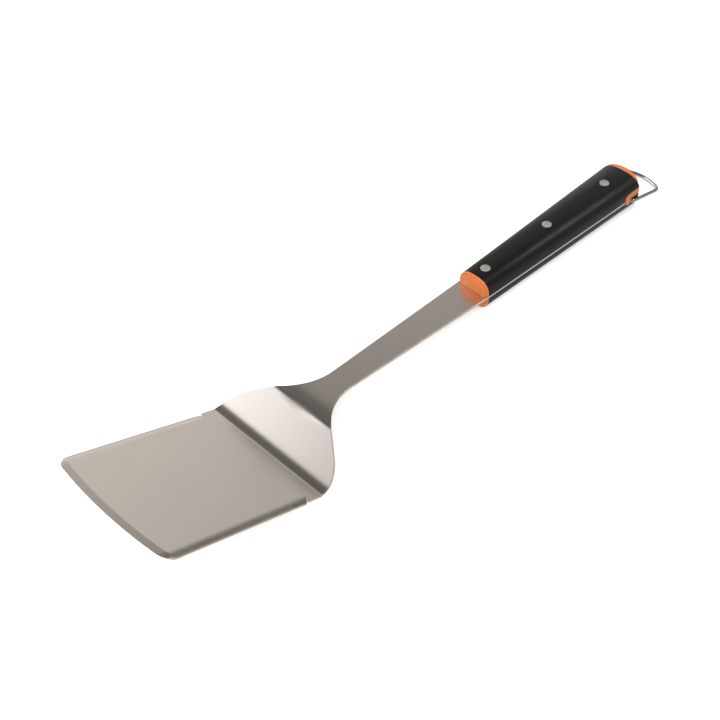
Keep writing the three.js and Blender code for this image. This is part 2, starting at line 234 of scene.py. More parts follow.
sheet_length = length_of(side_view(NECK_RADIUS_SIDE))
edge_line = bent_line(
    [
        Vector((0, BLADE_HALF_WIDTH_FRONT)),
        Vector((HEEL_CORNER, BLADE_HALF_WIDTH_HEEL)),
        Vector((NECK_CORNER, handle_half_width(NECK_CORNER_X))),
        Vector((sheet_length, handle_half_width(HANDLE_END))),
    ],
    [HEEL_CORNER_RADIUS, NECK_CORNER_RADIUS],
)


def tang_distance(x):
    """Where a place on the tang lies along the flat blank."""
    return sheet_length - HANDLE_END + x


def blade_half_width(distance):
    slope = (BLADE_HALF_WIDTH_HEEL - BLADE_HALF_WIDTH_FRONT) / HEEL_CORNER
    return BLADE_HALF_WIDTH_FRONT + slope * distance


def front_setback(y):
    into_corner = max(0, abs(y) - (BLADE_HALF_WIDTH_FRONT - FRONT_CORNER_RADIUS))
    round_off = FRONT_CORNER_RADIUS - math.sqrt(max(0, FRONT_CORNER_RADIUS ** 2 - into_corner ** 2))
    return FRONT_BOW_DEPTH * (y / FRONT_BOW_HALF_WIDTH) ** 2 + round_off


def half_outline():
    """One side of the flat blank, from the front edge to the end of the tang."""
    slit_front = SLIT_REAR - SLIT_WIDTH
    edge = blade_half_width(slit_front)
    points = [(0, BLADE_HALF_WIDTH_FRONT)]
    corner_steps = 8
    for step in range(corner_steps + 1):
        angle = math.radians(90 * step / corner_steps)
        reach = SLIT_CORNER_RADIUS * math.sin(angle)
        points.append((slit_front - SLIT_CORNER_RADIUS + reach,
                       edge - SLIT_CORNER_RADIUS * (1 - math.cos(angle))))
    points += [(slit_front, SLIT_INNER), (SLIT_REAR, SLIT_INNER), (SLIT_REAR, blade_half_width(SLIT_REAR))]
    edge_start = SLIT_REAR + 1
    edge_length = length_of(edge_line) - edge_start
    edge_steps = 150
    for step in range(edge_steps + 1):
        point = along(edge_line, edge_start + edge_length * step / edge_steps)[0]
        if point.x < tang_distance(TONGUE_X):
            points.append((point.x, point.y))
    points.append((tang_distance(TONGUE_X), handle_half_width(TONGUE_X)))
    points.append((tang_distance(TONGUE_X), TONGUE_HALF_WIDTH))
    end_steps = 5
    for step in range(end_steps + 1):
        y = TONGUE_HALF_WIDTH * (1 - step / end_steps)
        bow = END_BOW_RADIUS - math.sqrt(END_BOW_RADIUS ** 2 - y * y)
        points.append((sheet_length - bow, y))
    return points


def ranged(start, stop, step):
    """Even steps of about a given size, from start to stop."""
    count = max(1, round((stop - start) / step))
    return [start + (stop - start) * i / count for i in range(count + 1)]


def blank_rows():
    """Where the sheet is divided along its length: closely at the bends."""
    rows = [FRONT_BEVEL_WIDTH / 2, FRONT_BEVEL_WIDTH, FRONT_BEVEL_WIDTH + 0.3]
    for stretch in (
        (7, SLIT_REAR - 12, 4),  # the flat of the blade
        (SLIT_REAR - 10, SLIT_REAR - 1.5, 1.4),  # the ends of its rolled sides
        (BLADE_LENGTH - 10, BLADE_LENGTH + 8, 0.6),  # the heel
        (BLADE_LENGTH + 9, BLADE_LENGTH + 24, 1.5),  # the web
        (BLADE_LENGTH + 25, BLADE_LENGTH + 42, 0.6),  # the neck
        (BLADE_LENGTH + 44, tang_distance(-6), 5),  # the shank
        (tang_distance(-4), tang_distance(4), 1),  # the slight bend at the bolster
        (tang_distance(10), tang_distance(160), 30),  # the tang
    ):
        rows += ranged(*stretch)
    return rows


def blank_columns():
    """Where it is divided across: closely towards its sides."""
    inner = BLADE_HALF_WIDTH_FRONT - FRONT_CORNER_RADIUS
    half = ranged(1, inner, 2.6)
    corner_steps = 12
    for step in range(1, corner_steps):
        half.append(inner + FRONT_CORNER_RADIUS * math.sin(math.radians(90 * step / corner_steps)))
    return [-y for y in reversed(half)] + half


def bend_point(flat):
    """A point of the flat blank, with Z up from mid-sheet, taken to its place in the bent sheet."""
    row, y, lift = flat
    distance = row + (front_setback(y) * (1 - row / SLIT_REAR) if row < SLIT_REAR else 0)
    inward = max(0, 1 - (y / NECK_BOW_HALF_WIDTH) ** 2)
    runs = side_view(NECK_RADIUS_SIDE + (NECK_RADIUS_MIDDLE - NECK_RADIUS_SIDE) * inward * inward)
    shift = length_of(runs) - sheet_length
    place, heading = along(runs, distance + (shift if distance > SHANK_START else 0))
    roll = 0
    if distance < SLIT_REAR - SLIT_WIDTH / 2:
        near_slit = max(0, 1 - (SLIT_REAR - distance) / ROLL_END_LENGTH) ** 2
        width = SIDE_ROLL_WIDTH - ROLL_END_NARROWING * near_slit
        into_roll = (abs(y) - (blade_half_width(distance) - width)) / width
        roll = (SIDE_ROLL_DROP + ROLL_END_DROP * near_slit) * max(0, into_roll) ** 2
    bevel = FRONT_BEVEL_DROP * max(0, 1 - row / FRONT_BEVEL_WIDTH)
    drop = max(roll, bevel) if lift > 0 else roll
    height = lift - drop
    return place.x - math.sin(heading) * height, y, place.y + math.cos(heading) * height


def object_from(bm, name):
    mesh = bpy.data.meshes.new(name)
    bm.to_mesh(mesh)
    bm.free()
    obj = bpy.data.objects.new(name, mesh)
    bpy.context.collection.objects.link(obj)
    return obj


def flat_blank():
    half = half_outline()
    outline = [(x, y) for x, y in half] + [(x, -y) for x, y in reversed(half[:-1])]
    bm = bmesh.new()
    face = bm.faces.new([bm.verts.new((x, y, -SHEET / 2)) for x, y in outline])
    raised = bmesh.ops.extrude_face_region(bm, geom=[face])["geom"]
    bmesh.ops.translate(bm, vec=(0, 0, SHEET), verts=[v for v in raised if isinstance(v, bmesh.types.BMVert)])
    bmesh.ops.recalc_face_normals(bm, faces=bm.faces)
    rims = [e for e in bm.edges if abs(e.verts[0].co.z - e.verts[1].co.z) < 1e-6]
    bmesh.ops.bevel(bm, geom=rims, offset=SHEET_EDGE_ROUNDING, segments=2, profile=0.5, affect="EDGES")
    divisions = [((x, 0, 0), (1, 0, 0)) for x in blank_rows()]
    divisions += [((0, y, 0), (0, 1, 0)) for y in blank_columns()]
    for point, normal in divisions:
        geometry = bm.verts[:] + bm.edges[:] + bm.faces[:]
        bmesh.ops.bisect_plane(bm, geom=geometry, plane_co=point, plane_no=normal, dist=1e-5)
    return bm


def settle(obj, material, body, replaced):
    """Takes a finished piece from millimetres to the frame and hands it over."""
    obj.data.transform(TO_FRAME)
    obj.data.materials.clear()
    obj.data.materials.append(material)
    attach(obj, body)
    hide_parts(*replaced)


def apply_modifiers(obj):
    evaluated = obj.evaluated_get(bpy.context.evaluated_depsgraph_get())
    mesh = bpy.data.meshes.new_from_object(evaluated)
    obj.modifiers.clear()
    obj.data = mesh


def cut(obj, cutter, operation="DIFFERENCE"):
    """Joins or cuts with another solid, which is used up."""
    modifier = obj.modifiers.new("cut", "BOOLEAN")
    modifier.operation = operation
    modifier.object = cutter
    modifier.solver = "EXACT"
    apply_modifiers(obj)
    bpy.data.objects.remove(cutter)


def cylinder(radius, start, end, sides=48):
    """A round bar between two points."""
    bm = bmesh.new()
    axis = Vector(end) - Vector(start)
    turn = axis.to_track_quat("Z", "Y").to_matrix().to_4x4()
    place = Matrix.Translation((Vector(start) + Vector(end)) / 2) @ turn
    bmesh.ops.create_cone(bm, cap_ends=True, segments=sides, radius1=radius, radius2=radius,
                          depth=axis.length, matrix=place)
    return object_from(bm, "bar")


def smooth(obj, sharp_beyond):
    """Shades a piece smoothly, but for its edges beyond an angle in degrees."""
    obj.data.polygons.foreach_set("use_smooth", [True] * len(obj.data.polygons))
    obj.data.set_sharp_from_angle(angle=math.radians(sharp_beyond))


blank = flat_blank()
flat_map = blank.loops.layers.uv.new("flat_blank")
for blank_face in blank.faces:
    for loop in blank_face.loops:
        loop[flat_map].uv = loop.vert.co.xy * MILLIMETRE
for vertex in blank.verts:
    vertex.co = bend_point(vertex.co)
steel_blank = object_from(blank, "steel_blank")
for rivet_x in RIVET_X:
    ends = [(rivet_x, 0, side * 2 * SHEET) for side in (-1, 1)]
    cut(steel_blank, cylinder(RIVET_SHANK_RADIUS + RIVET_PLAY, *ends))
smooth(steel_blank, sharp_beyond=8.5)

# Cold-rolled stainless sheet, belt brushed: a warm grey metal with a soft, blurred mirror. Real brush
# lines are 0.05 mm apart; they are drawn 0.9 mm apart, as slight changes of tint and roughness.
satin_steel, tree, shader = new_material(
    "brushed_stainless_sheet",
    {"Metallic": 1.0, "Roughness": 0.25},
)
BRUSH_LINE_WIDTH = 0.0009
BRUSH_LINE_LENGTH = 0.05
CLOUD_SIZE = 0.035
flat = add_node(tree, "ShaderNodeUVMap", uv_map="flat_blank")
stretched = add_node(tree, "ShaderNodeMapping", {
    "Vector": flat.outputs["UV"],
    "Scale": (1 / BRUSH_LINE_LENGTH, 1 / BRUSH_LINE_WIDTH, 1),
})
lines = noise(tree, stretched.outputs["Vector"], 1, 3, roughness=0.6)
clouds = noise(tree, flat.outputs["UV"], CLOUD_SIZE, 3, roughness=0.55)
roughness = add_node(tree, "ShaderNodeMath", {
    0: mapped(tree, lines, (0.25, 0.75), (0.225, 0.265)),
    1: mapped(tree, clouds, (0.3, 0.7), (-0.015, 0.02)),
}, operation="ADD")
link_patterns(tree, shader, {
    "Roughness": roughness.outputs["Value"], "Base Color": tinted(tree, lines, "#DED4CA", "#E0D6CC"),
})
settle(steel_blank, satin_steel, "spatula", ["blade_and_tang"])

# ---------- Handle scales ----------
# Two moulded halves of black glass-filled nylon, an upper and a lower one, that lie against the
# tang and are clamped by three rivets. The lower one also closes the handle's rear end, fills the
# corners beside the tang's tongue and has the blind side holes that the loop turns in.
HALF_HEIGHT = 12.5
REST_HEIGHT = 11.4
SECTION_POWER = 2.75
BOLSTER_LENGTH = 3.2
CAP_FACE = 162
FIT = 0.06
TANG_PLAY = 0.1
TONGUE_CUT_START = 100
LEG_RELIEF = 16.45
EAR_FRONT = 146
EAR_REAR = 151.35
EAR_TOP = 5.3
EAR_BOTTOM = -3.7
EAR_DEPTH = 3.7
EAR_STRIP = -0.1
EAR_TOP_CURVE_LENGTH = 4.5
EAR_TOP_CURVE_HEIGHT = 4
EAR_TOE_RISE = 2.2
EAR_TOE_LENGTH = 2.6
EAR_TOE_ROUNDING = 0.8
EAR_STRIP_OVERLAP = 2
REAR_CORNER = 3
PIVOT_X = 153
PIVOT_Z = -1.5
WIRE_RADIUS = 1.3
PIVOT_HOLE_RADIUS = 1.6
PIVOT_HOLE_END = 10.75
RIVET_HEAD_RADIUS = 3.6
RIVET_HEAD_HEIGHT = 1.3
RIVET_HEAD_PLAY = 0.28
EDGE_ROUNDING = 0.3
QUARTER_STEPS = 40

# Cutters reach well past the handle.
OUTSIDE = 60
BEHIND = 200
BORE_REACH = 20


def section(low, high):
    """The handle's section between two heights, as (share of the half width, height) all round."""
    def share(z):
        return (1 - min(1, abs(z) / HALF_HEIGHT) ** SECTION_POWER) ** (1 / SECTION_POWER)

    def angle_at(z):
        return math.asin(math.copysign(min(1, abs(z) / HALF_HEIGHT) ** (SECTION_POWER / 2), z))

    right = []
    for angle in ranged(angle_at(low), angle_at(high), math.radians(90) / QUARTER_STEPS):
        z = math.copysign(HALF_HEIGHT * abs(math.sin(angle)) ** (2 / SECTION_POWER), math.sin(angle))
        right.append((share(z), z))
    right[0] = (share(low), low)
    right[-1] = (share(high), high)
    left = [(-s, z) for s, z in reversed(right) if s > 1e-6]
    return right + left


def loft(loops, name):
    """A closed skin over equal loops of points, with flat ends."""
    bm = bmesh.new()
    rings = [[bm.verts.new(point) for point in loop] for loop in loops]
    for ring, following in zip(rings, rings[1:]):
        for i in range(len(ring)):
            j = (i + 1) % len(ring)
            bm.faces.new((ring[i], ring[j], following[j], following[i]))
    bm.faces.new(rings[0])
    bm.faces.new(reversed(rings[-1]))
    bmesh.ops.recalc_face_normals(bm, faces=bm.faces)
    return object_from(bm, name)


def handle_body(x0, x1, low, high, name="body"):
    """A length of the handle, between two places along it and two heights."""
    outline = section(low, high)
    return loft([[(x, s * handle_half_width(x), z) for s, z in outline] for x in (x0, x1)], name)


def prism(outline, axis, low, high):
    """An outline carried along an axis: Y for one in X and Z, Z for one in X and Y."""
    if axis == "Y":
        return loft([[(x, end, z) for x, z in outline] for end in (low, high)], "prism")
    return loft([[(x, y, end) for x, y in outline] for end in (low, high)], "prism")


def block(x, y, z):
    """A box between two places on each axis."""
    return prism([(x[0], y[0]), (x[1], y[0]), (x[1], y[1]), (x[0], y[1])], "Z", *z)


def curve_to(start, control, end, steps=10):
    """Points of a smooth corner, without its start."""
    points = []
    for step in range(1, steps + 1):
        t = step / steps
        points.append(tuple((1 - t) ** 2 * a + 2 * t * (1 - t) * b + t * t * c
                            for a, b, c in zip(start, control, end)))
    return points


def ear_outline(margin):
    """An ear seen from the side, with the strip that joins it to the cap, grown by a margin."""
    front, rear = EAR_FRONT - margin, EAR_REAR + margin
    top, bottom = EAR_TOP + margin, EAR_BOTTOM - margin
    strip, end = EAR_STRIP - margin, CAP_FACE + EAR_STRIP_OVERLAP + margin
    points = [(end, top), (front + EAR_TOP_CURVE_LENGTH, top)]
    points += curve_to(points[-1], (front, top), (front, top - EAR_TOP_CURVE_HEIGHT))
    points += curve_to(points[-1], (front, bottom + EAR_TOE_RISE), (rear - EAR_TOE_LENGTH, bottom))
    points.append((rear - EAR_TOE_ROUNDING, bottom))
    points += curve_to(points[-1], (rear, bottom), (rear, bottom + EAR_TOE_ROUNDING), 4)
    return points + [(rear, strip), (end, strip)]


def ear_blocks(margin):
    """Both ears as plain blocks that reach past the handle's sides, grown by a margin."""
    inner = handle_half_width(EAR_FRONT) - EAR_DEPTH - margin
    return [prism(ear_outline(margin), "Y", *sorted((side * inner, side * OUTSIDE))) for side in (-1, 1)]


def rear_end():
    """What lies behind the handle's bowed rear end and its rounded corners, to be cut away."""
    side = handle_half_width(HANDLE_END) + 1
    centre = HANDLE_END - END_BOW_RADIUS
    reach = math.asin((handle_half_width(HANDLE_END) - REAR_CORNER) / END_BOW_RADIUS)
    arc = [(centre + END_BOW_RADIUS * math.cos(a), END_BOW_RADIUS * math.sin(a))
           for a in ranged(-reach, reach, math.radians(3))]
    corner = arc[0][0]
    flank = corner - REAR_CORNER
    outline = [(BEHIND, -OUTSIDE), (flank, -OUTSIDE), (flank, -side)]
    outline += curve_to(outline[-1], (corner - 1, -side), arc[0], 6)[:-1] + arc
    outline += curve_to(arc[-1], (corner - 1, side), (flank, side), 6)
    outline += [(flank, OUTSIDE), (BEHIND, OUTSIDE)]
    return prism(outline, "Z", -OUTSIDE, OUTSIDE)


def cut_leg_reliefs(obj):
    """Takes away the sides behind the ears, where the loop's legs swing."""
    for side in (-1, 1):
        relief = sorted((side * LEG_RELIEF, side * OUTSIDE))
        cut(obj, block((EAR_REAR, BEHIND), relief, (-OUTSIDE, OUTSIDE)))


def cut_pivot_holes(obj):
    """Bores the blind holes that the loop's ends turn in."""
    for side in (-1, 1):
        ends = [(PIVOT_X, side * y, PIVOT_Z) for y in (PIVOT_HOLE_END, OUTSIDE)]
        cut(obj, cylinder(PIVOT_HOLE_RADIUS, *ends))


def cut_rivets(scale, shank, head):
    """Bores a scale between two heights for each rivet's shank, and between two for its head."""
    bores = ((RIVET_SHANK_RADIUS + RIVET_PLAY, shank), (RIVET_HEAD_RADIUS + RIVET_HEAD_PLAY, head))
    for rivet_x in RIVET_X:
        for radius, heights in bores:
            cut(scale, cylinder(radius, *[(rivet_x, 0, z) for z in heights]))


def soften(obj, width):
    """Rounds the sharp edges of a moulding."""
    bm = bmesh.new()
    bm.from_mesh(obj.data)
    bmesh.ops.remove_doubles(bm, verts=bm.verts, dist=0.02)
    bmesh.ops.dissolve_degenerate(bm, edges=bm.edges, dist=0.01)
    bm.to_mesh(obj.data)
    bm.free()
    modifier = obj.modifiers.new("edges", "BEVEL")
    modifier.width = width
    modifier.segments = 3
    modifier.limit_method = "ANGLE"
    modifier.angle_limit = math.radians(50)
    modifier.use_clamp_overlap = True
    apply_modifiers(obj)
    smooth(obj, sharp_beyond=35)


tang_top = SHEET / 2 + FIT
upper_scale = handle_body(BOLSTER_LENGTH + FIT, CAP_FACE - FIT, tang_top, HALF_HEIGHT, "handle_scale_upper")
for slab in ear_blocks(FIT):
    cut(upper_scale, slab)
cut_leg_reliefs(upper_scale)
soften(upper_scale, EDGE_ROUNDING)
cut_rivets(upper_scale, (-1, BORE_REACH), (HALF_HEIGHT - RIVET_HEAD_HEIGHT - RIVET_PLAY, BORE_REACH))
smooth(upper_scale, sharp_beyond=35)

lower_scale = handle_body(BOLSTER_LENGTH + FIT, HANDLE_END, -REST_HEIGHT, SHEET / 2, "handle_scale_lower")
tongue = TONGUE_HALF_WIDTH + TANG_PLAY
cut(lower_scale, block((-OUTSIDE, TONGUE_X + TANG_PLAY), (-OUTSIDE, OUTSIDE), (-tang_top, OUTSIDE)))
cut(lower_scale, block((TONGUE_CUT_START, BEHIND), (-tongue, tongue), (-tang_top, OUTSIDE)))
cut(lower_scale, rear_end())
for slab in ear_blocks(FIT):
    cut(lower_scale, slab)
cut_leg_reliefs(lower_scale)
soften(lower_scale, EDGE_ROUNDING)
cut_pivot_holes(lower_scale)
cut_rivets(lower_scale, (-BORE_REACH, 1), (-BORE_REACH, -REST_HEIGHT + RIVET_HEAD_HEIGHT + RIVET_PLAY))
smooth(lower_scale, sharp_beyond=35)

# Glass-filled nylon from a spark-eroded mould: near black, with a satin skin whose grain of about
# 0.25 mm breaks up the highlights, and faint flow clouds.
black_nylon, tree, shader = new_material(
    "moulded_black_nylon",
    {"Base Color": linear("#1F1D1C"), "Roughness": 0.36, "IOR": 1.5, "Specular IOR Level": 0.32},
)
MOULD_GRAIN = 0.00025
FLOW_CLOUD = 0.02
place = add_node(tree, "ShaderNodeTexCoord").outputs["Object"]
grain = noise(tree, place, 2 * MOULD_GRAIN, 2)
link_patterns(tree, shader, {
    "Roughness": mapped(tree, noise(tree, place, FLOW_CLOUD, 2), (0.3, 0.7), (0.33, 0.41)),
    "Base Color": tinted(tree, grain, "#100F0E", "#1B1917"),
    "Normal": grained(tree, grain, 0.12, 0.00005),
})
settle(upper_scale, black_nylon, "spatula", ["upper_scale"])
settle(lower_scale, black_nylon, "spatula", ["lower_scale"])

# ---------- Front bolster ----------
# Two burnt-orange mouldings in front of the scales, one over and one under the tang. Their face is
# smaller than the handle and stands about 1.5 mm in front of a rounded collar of its full width.
NEAR_TANG = 1
BOLSTER_STEPS = [(0, 1.5), (0.06, 1.34), (0.2, 1.24), (0.6, 1.16), (1.5, 1.1), (1.6, 1.0), (1.55, 0.7),
                 (1.45, 0.35), (1.5, 0.15), (1.65, 0.04), (1.85, 0), (2.9, 0), (3.1, 0.06),
                 (BOLSTER_LENGTH, 0.2)]


def bolster_half(low, high, name):
    """A half between two heights, lofted over (place along the handle, inset) steps."""
    outline = section(low, high)
    loops = []
    for x, inset in BOLSTER_STEPS:
        across = handle_half_width(x) - inset
        up = 1 - inset / HALF_HEIGHT
        heights = [min(high, max(low, z * up if abs(z) > NEAR_TANG else z)) for _, z in outline]
        loops.append([(x, share * across, height) for (share, _), height in zip(outline, heights)])
    half = loft(loops, name)
    smooth(half, sharp_beyond=28)
    return half


bolster_upper = bolster_half(tang_top, HALF_HEIGHT, "front_bolster_upper")
bolster_lower = bolster_half(-REST_HEIGHT, -tang_top, "front_bolster_lower")

# Burnt-orange nylon, semi-gloss: its grain of about 0.3 mm is shallower than the scales', and its
# colour is slightly cloudy.
orange_nylon, tree, shader = new_material(
    "moulded_orange_nylon",
    {"Base Color": linear("#D9793F"), "Roughness": 0.32, "IOR": 1.5},
)
ORANGE_GRAIN = 0.0003
ORANGE_CLOUD = 1 / 180
place = add_node(tree, "ShaderNodeTexCoord").outputs["Object"]
grain = noise(tree, place, 2 * ORANGE_GRAIN, 2)
link_patterns(tree, shader, {
    "Base Color": tinted(tree, noise(tree, place, ORANGE_CLOUD, 1), "#D2733B", "#DC8048"),
    "Roughness": mapped(tree, grain, (0.3, 0.7), (0.28, 0.38)),
    "Normal": grained(tree, grain, 0.08, 0.00004),
})
settle(bolster_upper, orange_nylon, "spatula", ["bolster_upper"])
settle(bolster_lower, orange_nylon, "spatula", ["bolster_lower"])

# ---------- Rear cap ----------
# One orange moulding behind the upper scale. At each side it runs forward and down in an ear that
# ends just in front of the loop's pivot.
CAP_ROUNDING = 0.75
CAP_STEPS = [(CAP_FACE, 0.55), (CAP_FACE + 0.95, 0.5), (CAP_FACE + 1.1, 0.25), (CAP_FACE + 1.3, 0.06),
             (CAP_FACE + 1.55, 0), (HANDLE_END, 0)]
cap_outline = section(tang_top, HALF_HEIGHT)
cap_loops = []
for x, inset in CAP_STEPS:
    up = 1 - inset / HALF_HEIGHT
    cap_loops.append([(x, s * (handle_half_width(x) - inset), max(tang_top, z * up)) for s, z in cap_outline])
rear_cap = loft(cap_loops, "rear_cap_moulding")
for slab in ear_blocks(0):
    cut(slab, handle_body(EAR_FRONT - 2, HANDLE_END, -REST_HEIGHT, HALF_HEIGHT), "INTERSECT")
    cut(rear_cap, slab, "UNION")
cut(rear_cap, rear_end())
cut_leg_reliefs(rear_cap)
soften(rear_cap, CAP_ROUNDING)
cut_pivot_holes(rear_cap)
smooth(rear_cap, sharp_beyond=35)
settle(rear_cap, orange_nylon, "spatula", ["rear_cap"])

# ---------- Rivets ----------
# Three cutler's rivets of stainless steel. Each is a tube half from above and a pin half from
# below, pressed together through both scales and the tang, and sanded flush with the scales.
RIVET_TUBE_INNER = 1.7
RIVET_TUBE_END = -6
RIVET_PIN_RADIUS = 1.4
RIVET_PIN_END = 7
RIVET_BORE_END = 8.5
RIVET_SPACING = RIVET_X[1] - RIVET_X[0]
RIVET_TOP_SINK = 0.02
RIVET_FOOT_SINK = 0.05


def turned(profile, name, sides=48):
    """A solid of revolution about Z from (radius, height) points that start and end on the axis."""
    bm = bmesh.new()
    rings = []
    for radius, z in profile:
        count = 1 if radius == 0 else sides
        rings.append([bm.verts.new((radius * math.cos(math.tau * i / sides),
                                    radius * math.sin(math.tau * i / sides), z)) for i in range(count)])
    for ring, following in zip(rings, rings[1:]):
        for i in range(sides):
            j = (i + 1) % sides
            corners = [ring[i % len(ring)], ring[j % len(ring)]]
            corners += [following[j % len(following)], following[i % len(following)]]
            bm.faces.new(list(dict.fromkeys(corners)))
    bmesh.ops.recalc_face_normals(bm, faces=bm.faces)
    return object_from(bm, name)


def head_profile(top, inward):
    """The sanded head: a low dished middle inside a bright, slightly raised rim."""
    r = RIVET_HEAD_RADIUS
    steps = [(0, 0.16), (1.9, 0.16), (2.5, 0.14), (2.75, 0.06), (2.95, 0.01), (3.1, 0.0), (r - 0.3, 0.0),
             (r - 0.1, 0.06), (r, 0.2)]
    return [(radius, top + inward * sink) for radius, sink in steps]


def geometry_tree(name, inputs):
    """A tree with a geometry in and out, and further inputs as (name, type)."""
    tree = bpy.data.node_groups.new(name, "GeometryNodeTree")
    for socket, kind in (("Geometry", "Geometry"), *inputs):
        tree.interface.new_socket(socket, in_out="INPUT", socket_type="NodeSocket" + kind)
    tree.interface.new_socket("Geometry", in_out="OUTPUT", socket_type="NodeSocketGeometry")
    return tree, add_node(tree, "NodeGroupInput").outputs


def hand_out(tree, geometry, finish):
    """Ends a tree: its copies become real, take a finish and go out."""
    real = add_node(tree, "GeometryNodeRealizeInstances", {"Geometry": geometry})
    painted = add_node(tree, "GeometryNodeSetMaterial", {
        "Geometry": real.outputs["Geometry"], "Material": finish,
    })
    add_node(tree, "NodeGroupOutput", {"Geometry": painted.outputs["Geometry"]})


rows_tree, given = geometry_tree("row_along_the_handle", [
    ("First", "Vector"), ("Spacing", "Float"), ("Count", "Int"), ("Finish", "Material"),
])
spacing = add_node(rows_tree, "ShaderNodeCombineXYZ", {"X": given["Spacing"]})
row_line = add_node(rows_tree, "GeometryNodeMeshLine", {
    "Count": given["Count"], "Start Location": given["First"], "Offset": spacing.outputs["Vector"],
})
copies = add_node(rows_tree, "GeometryNodeInstanceOnPoints", {
    "Points": row_line.outputs["Mesh"], "Instance": given["Geometry"],
})
hand_out(rows_tree, copies.outputs["Instances"], given["Finish"])


def set_inputs(modifier, values):
    """Sets a tree's named inputs on its modifier, each by its socket's identifier."""
    for item in modifier.node_group.interface.items_tree:
        if item.in_out == "INPUT" and item.name in values:
            modifier[item.identifier] = values[item.name]


# Stainless, sanded flush with the handle: matt, with fine scratches.
rivet_steel, tree, shader = new_material(
    "sanded_stainless_rivet",
    {"Base Color": linear("#F2EAE4"), "Metallic": 1.0, "Roughness": 0.4},
)
SANDING_SCRATCH = 0.0004
place = add_node(tree, "ShaderNodeTexCoord").outputs["Object"]
scratches = noise(tree, place, 2 * SANDING_SCRATCH, 4)
link_patterns(tree, shader, {
    "Roughness": mapped(tree, scratches, (0.3, 0.7), (0.36, 0.55)),
    "Normal": grained(tree, scratches, 0.15, 0.00003),
})

rivet_top = HALF_HEIGHT - RIVET_TOP_SINK
tube_half = turned(
    [(0, RIVET_BORE_END), (RIVET_TUBE_INNER, RIVET_BORE_END), (RIVET_TUBE_INNER, RIVET_TUBE_END),
     (RIVET_SHANK_RADIUS, RIVET_TUBE_END), (RIVET_SHANK_RADIUS, rivet_top - RIVET_HEAD_HEIGHT),
     (RIVET_HEAD_RADIUS, rivet_top - RIVET_HEAD_HEIGHT)] + head_profile(rivet_top, -1)[::-1],
    "rivet_tube_halves",
)
rivet_foot = -REST_HEIGHT + RIVET_FOOT_SINK
pin_half = turned(
    head_profile(rivet_foot, 1) + [
        (RIVET_HEAD_RADIUS, rivet_foot + RIVET_HEAD_HEIGHT),
        (RIVET_PIN_RADIUS, rivet_foot + RIVET_HEAD_HEIGHT),
        (RIVET_PIN_RADIUS, RIVET_PIN_END), (0, RIVET_PIN_END)],
    "rivet_pin_halves",
)
for rivets, kind in ((tube_half, "rivet_tube"), (pin_half, "rivet_pin")):
    row_of_rivets = rivets.modifiers.new("row", "NODES")
    row_of_rivets.node_group = rows_tree
    set_inputs(row_of_rivets, {
        "First": (RIVET_X[0], 0, 0), "Spacing": RIVET_SPACING, "Count": len(RIVET_X), "Finish": rivet_steel,
    })
    apply_modifiers(rivets)
    smooth(rivets, sharp_beyond=30)
    settle(rivets, rivet_steel, "spatula", [f"{kind}_{i + 1}" for i in range(len(RIVET_X))])

# ---------- Hanging loop ----------
# Stainless wire of 2.6 mm, bent cold in one plane. Its two ends turn inwards into the blind holes
# of the lower scale, behind the ears of the rear cap, so the loop swings about them.
LOOP_REACH = 38.5
LOOP_CORNER_RADIUS = 8
LOOP_CROWN_RISE = 6
LOOP_CROWN_RADIUS = 24
LOOP_END_BEND = 2
LEG_OFFSET = 18.0
WIRE_END = 11
WIRE_SIDES = 24
BEND_STEPS = 16
LOOP_DROOP = math.asin((REST_HEIGHT + PIVOT_Z - WIRE_RADIUS - 0.1) / LOOP_REACH)

wire_tree, given = geometry_tree("bent_wire", [("Wire Radius", "Float"), ("Finish", "Material")])
centreline = add_node(wire_tree, "GeometryNodeMeshToCurve", {"Mesh": given["Geometry"]})
bend_radius = add_node(
    wire_tree, "GeometryNodeInputNamedAttribute", {"Name": "bend_radius"}, data_type="FLOAT",
)
rounded = add_node(wire_tree, "GeometryNodeFilletCurve", {
    "Curve": centreline.outputs["Curve"], "Radius": bend_radius.outputs["Attribute"], "Count": BEND_STEPS,
}, mode="POLY")
round_section = add_node(wire_tree, "GeometryNodeCurvePrimitiveCircle", {
    "Resolution": WIRE_SIDES, "Radius": given["Wire Radius"],
})
drawn = add_node(wire_tree, "GeometryNodeCurveToMesh", {
    "Curve": rounded.outputs["Curve"], "Profile Curve": round_section.outputs["Curve"], "Fill Caps": True,
})
hand_out(wire_tree, drawn.outputs["Mesh"], given["Finish"])

crown = LOOP_REACH + LOOP_CROWN_RADIUS * (math.hypot(LOOP_CROWN_RISE, LEG_OFFSET) / LEG_OFFSET - 1)
leg = crown - LOOP_CROWN_RISE
loop_corners = [
    (0, -WIRE_END, 0), (0, -LEG_OFFSET, LOOP_END_BEND), (leg, -LEG_OFFSET, LOOP_CORNER_RADIUS),
    (crown, 0, LOOP_CROWN_RADIUS),
    (leg, LEG_OFFSET, LOOP_CORNER_RADIUS), (0, LEG_OFFSET, LOOP_END_BEND), (0, WIRE_END, 0),
]
wire = bmesh.new()
radius_layer = wire.verts.layers.float.new("bend_radius")
previous = None
for out, across, bend in loop_corners:
    x = PIVOT_X + out * math.cos(LOOP_DROOP)
    z = PIVOT_Z - out * math.sin(LOOP_DROOP)
    point = wire.verts.new((x, across, z))
    point[radius_layer] = bend
    if previous is not None:
        wire.edges.new((previous, point))
    previous = point
wire_loop = object_from(wire, "wire_loop")

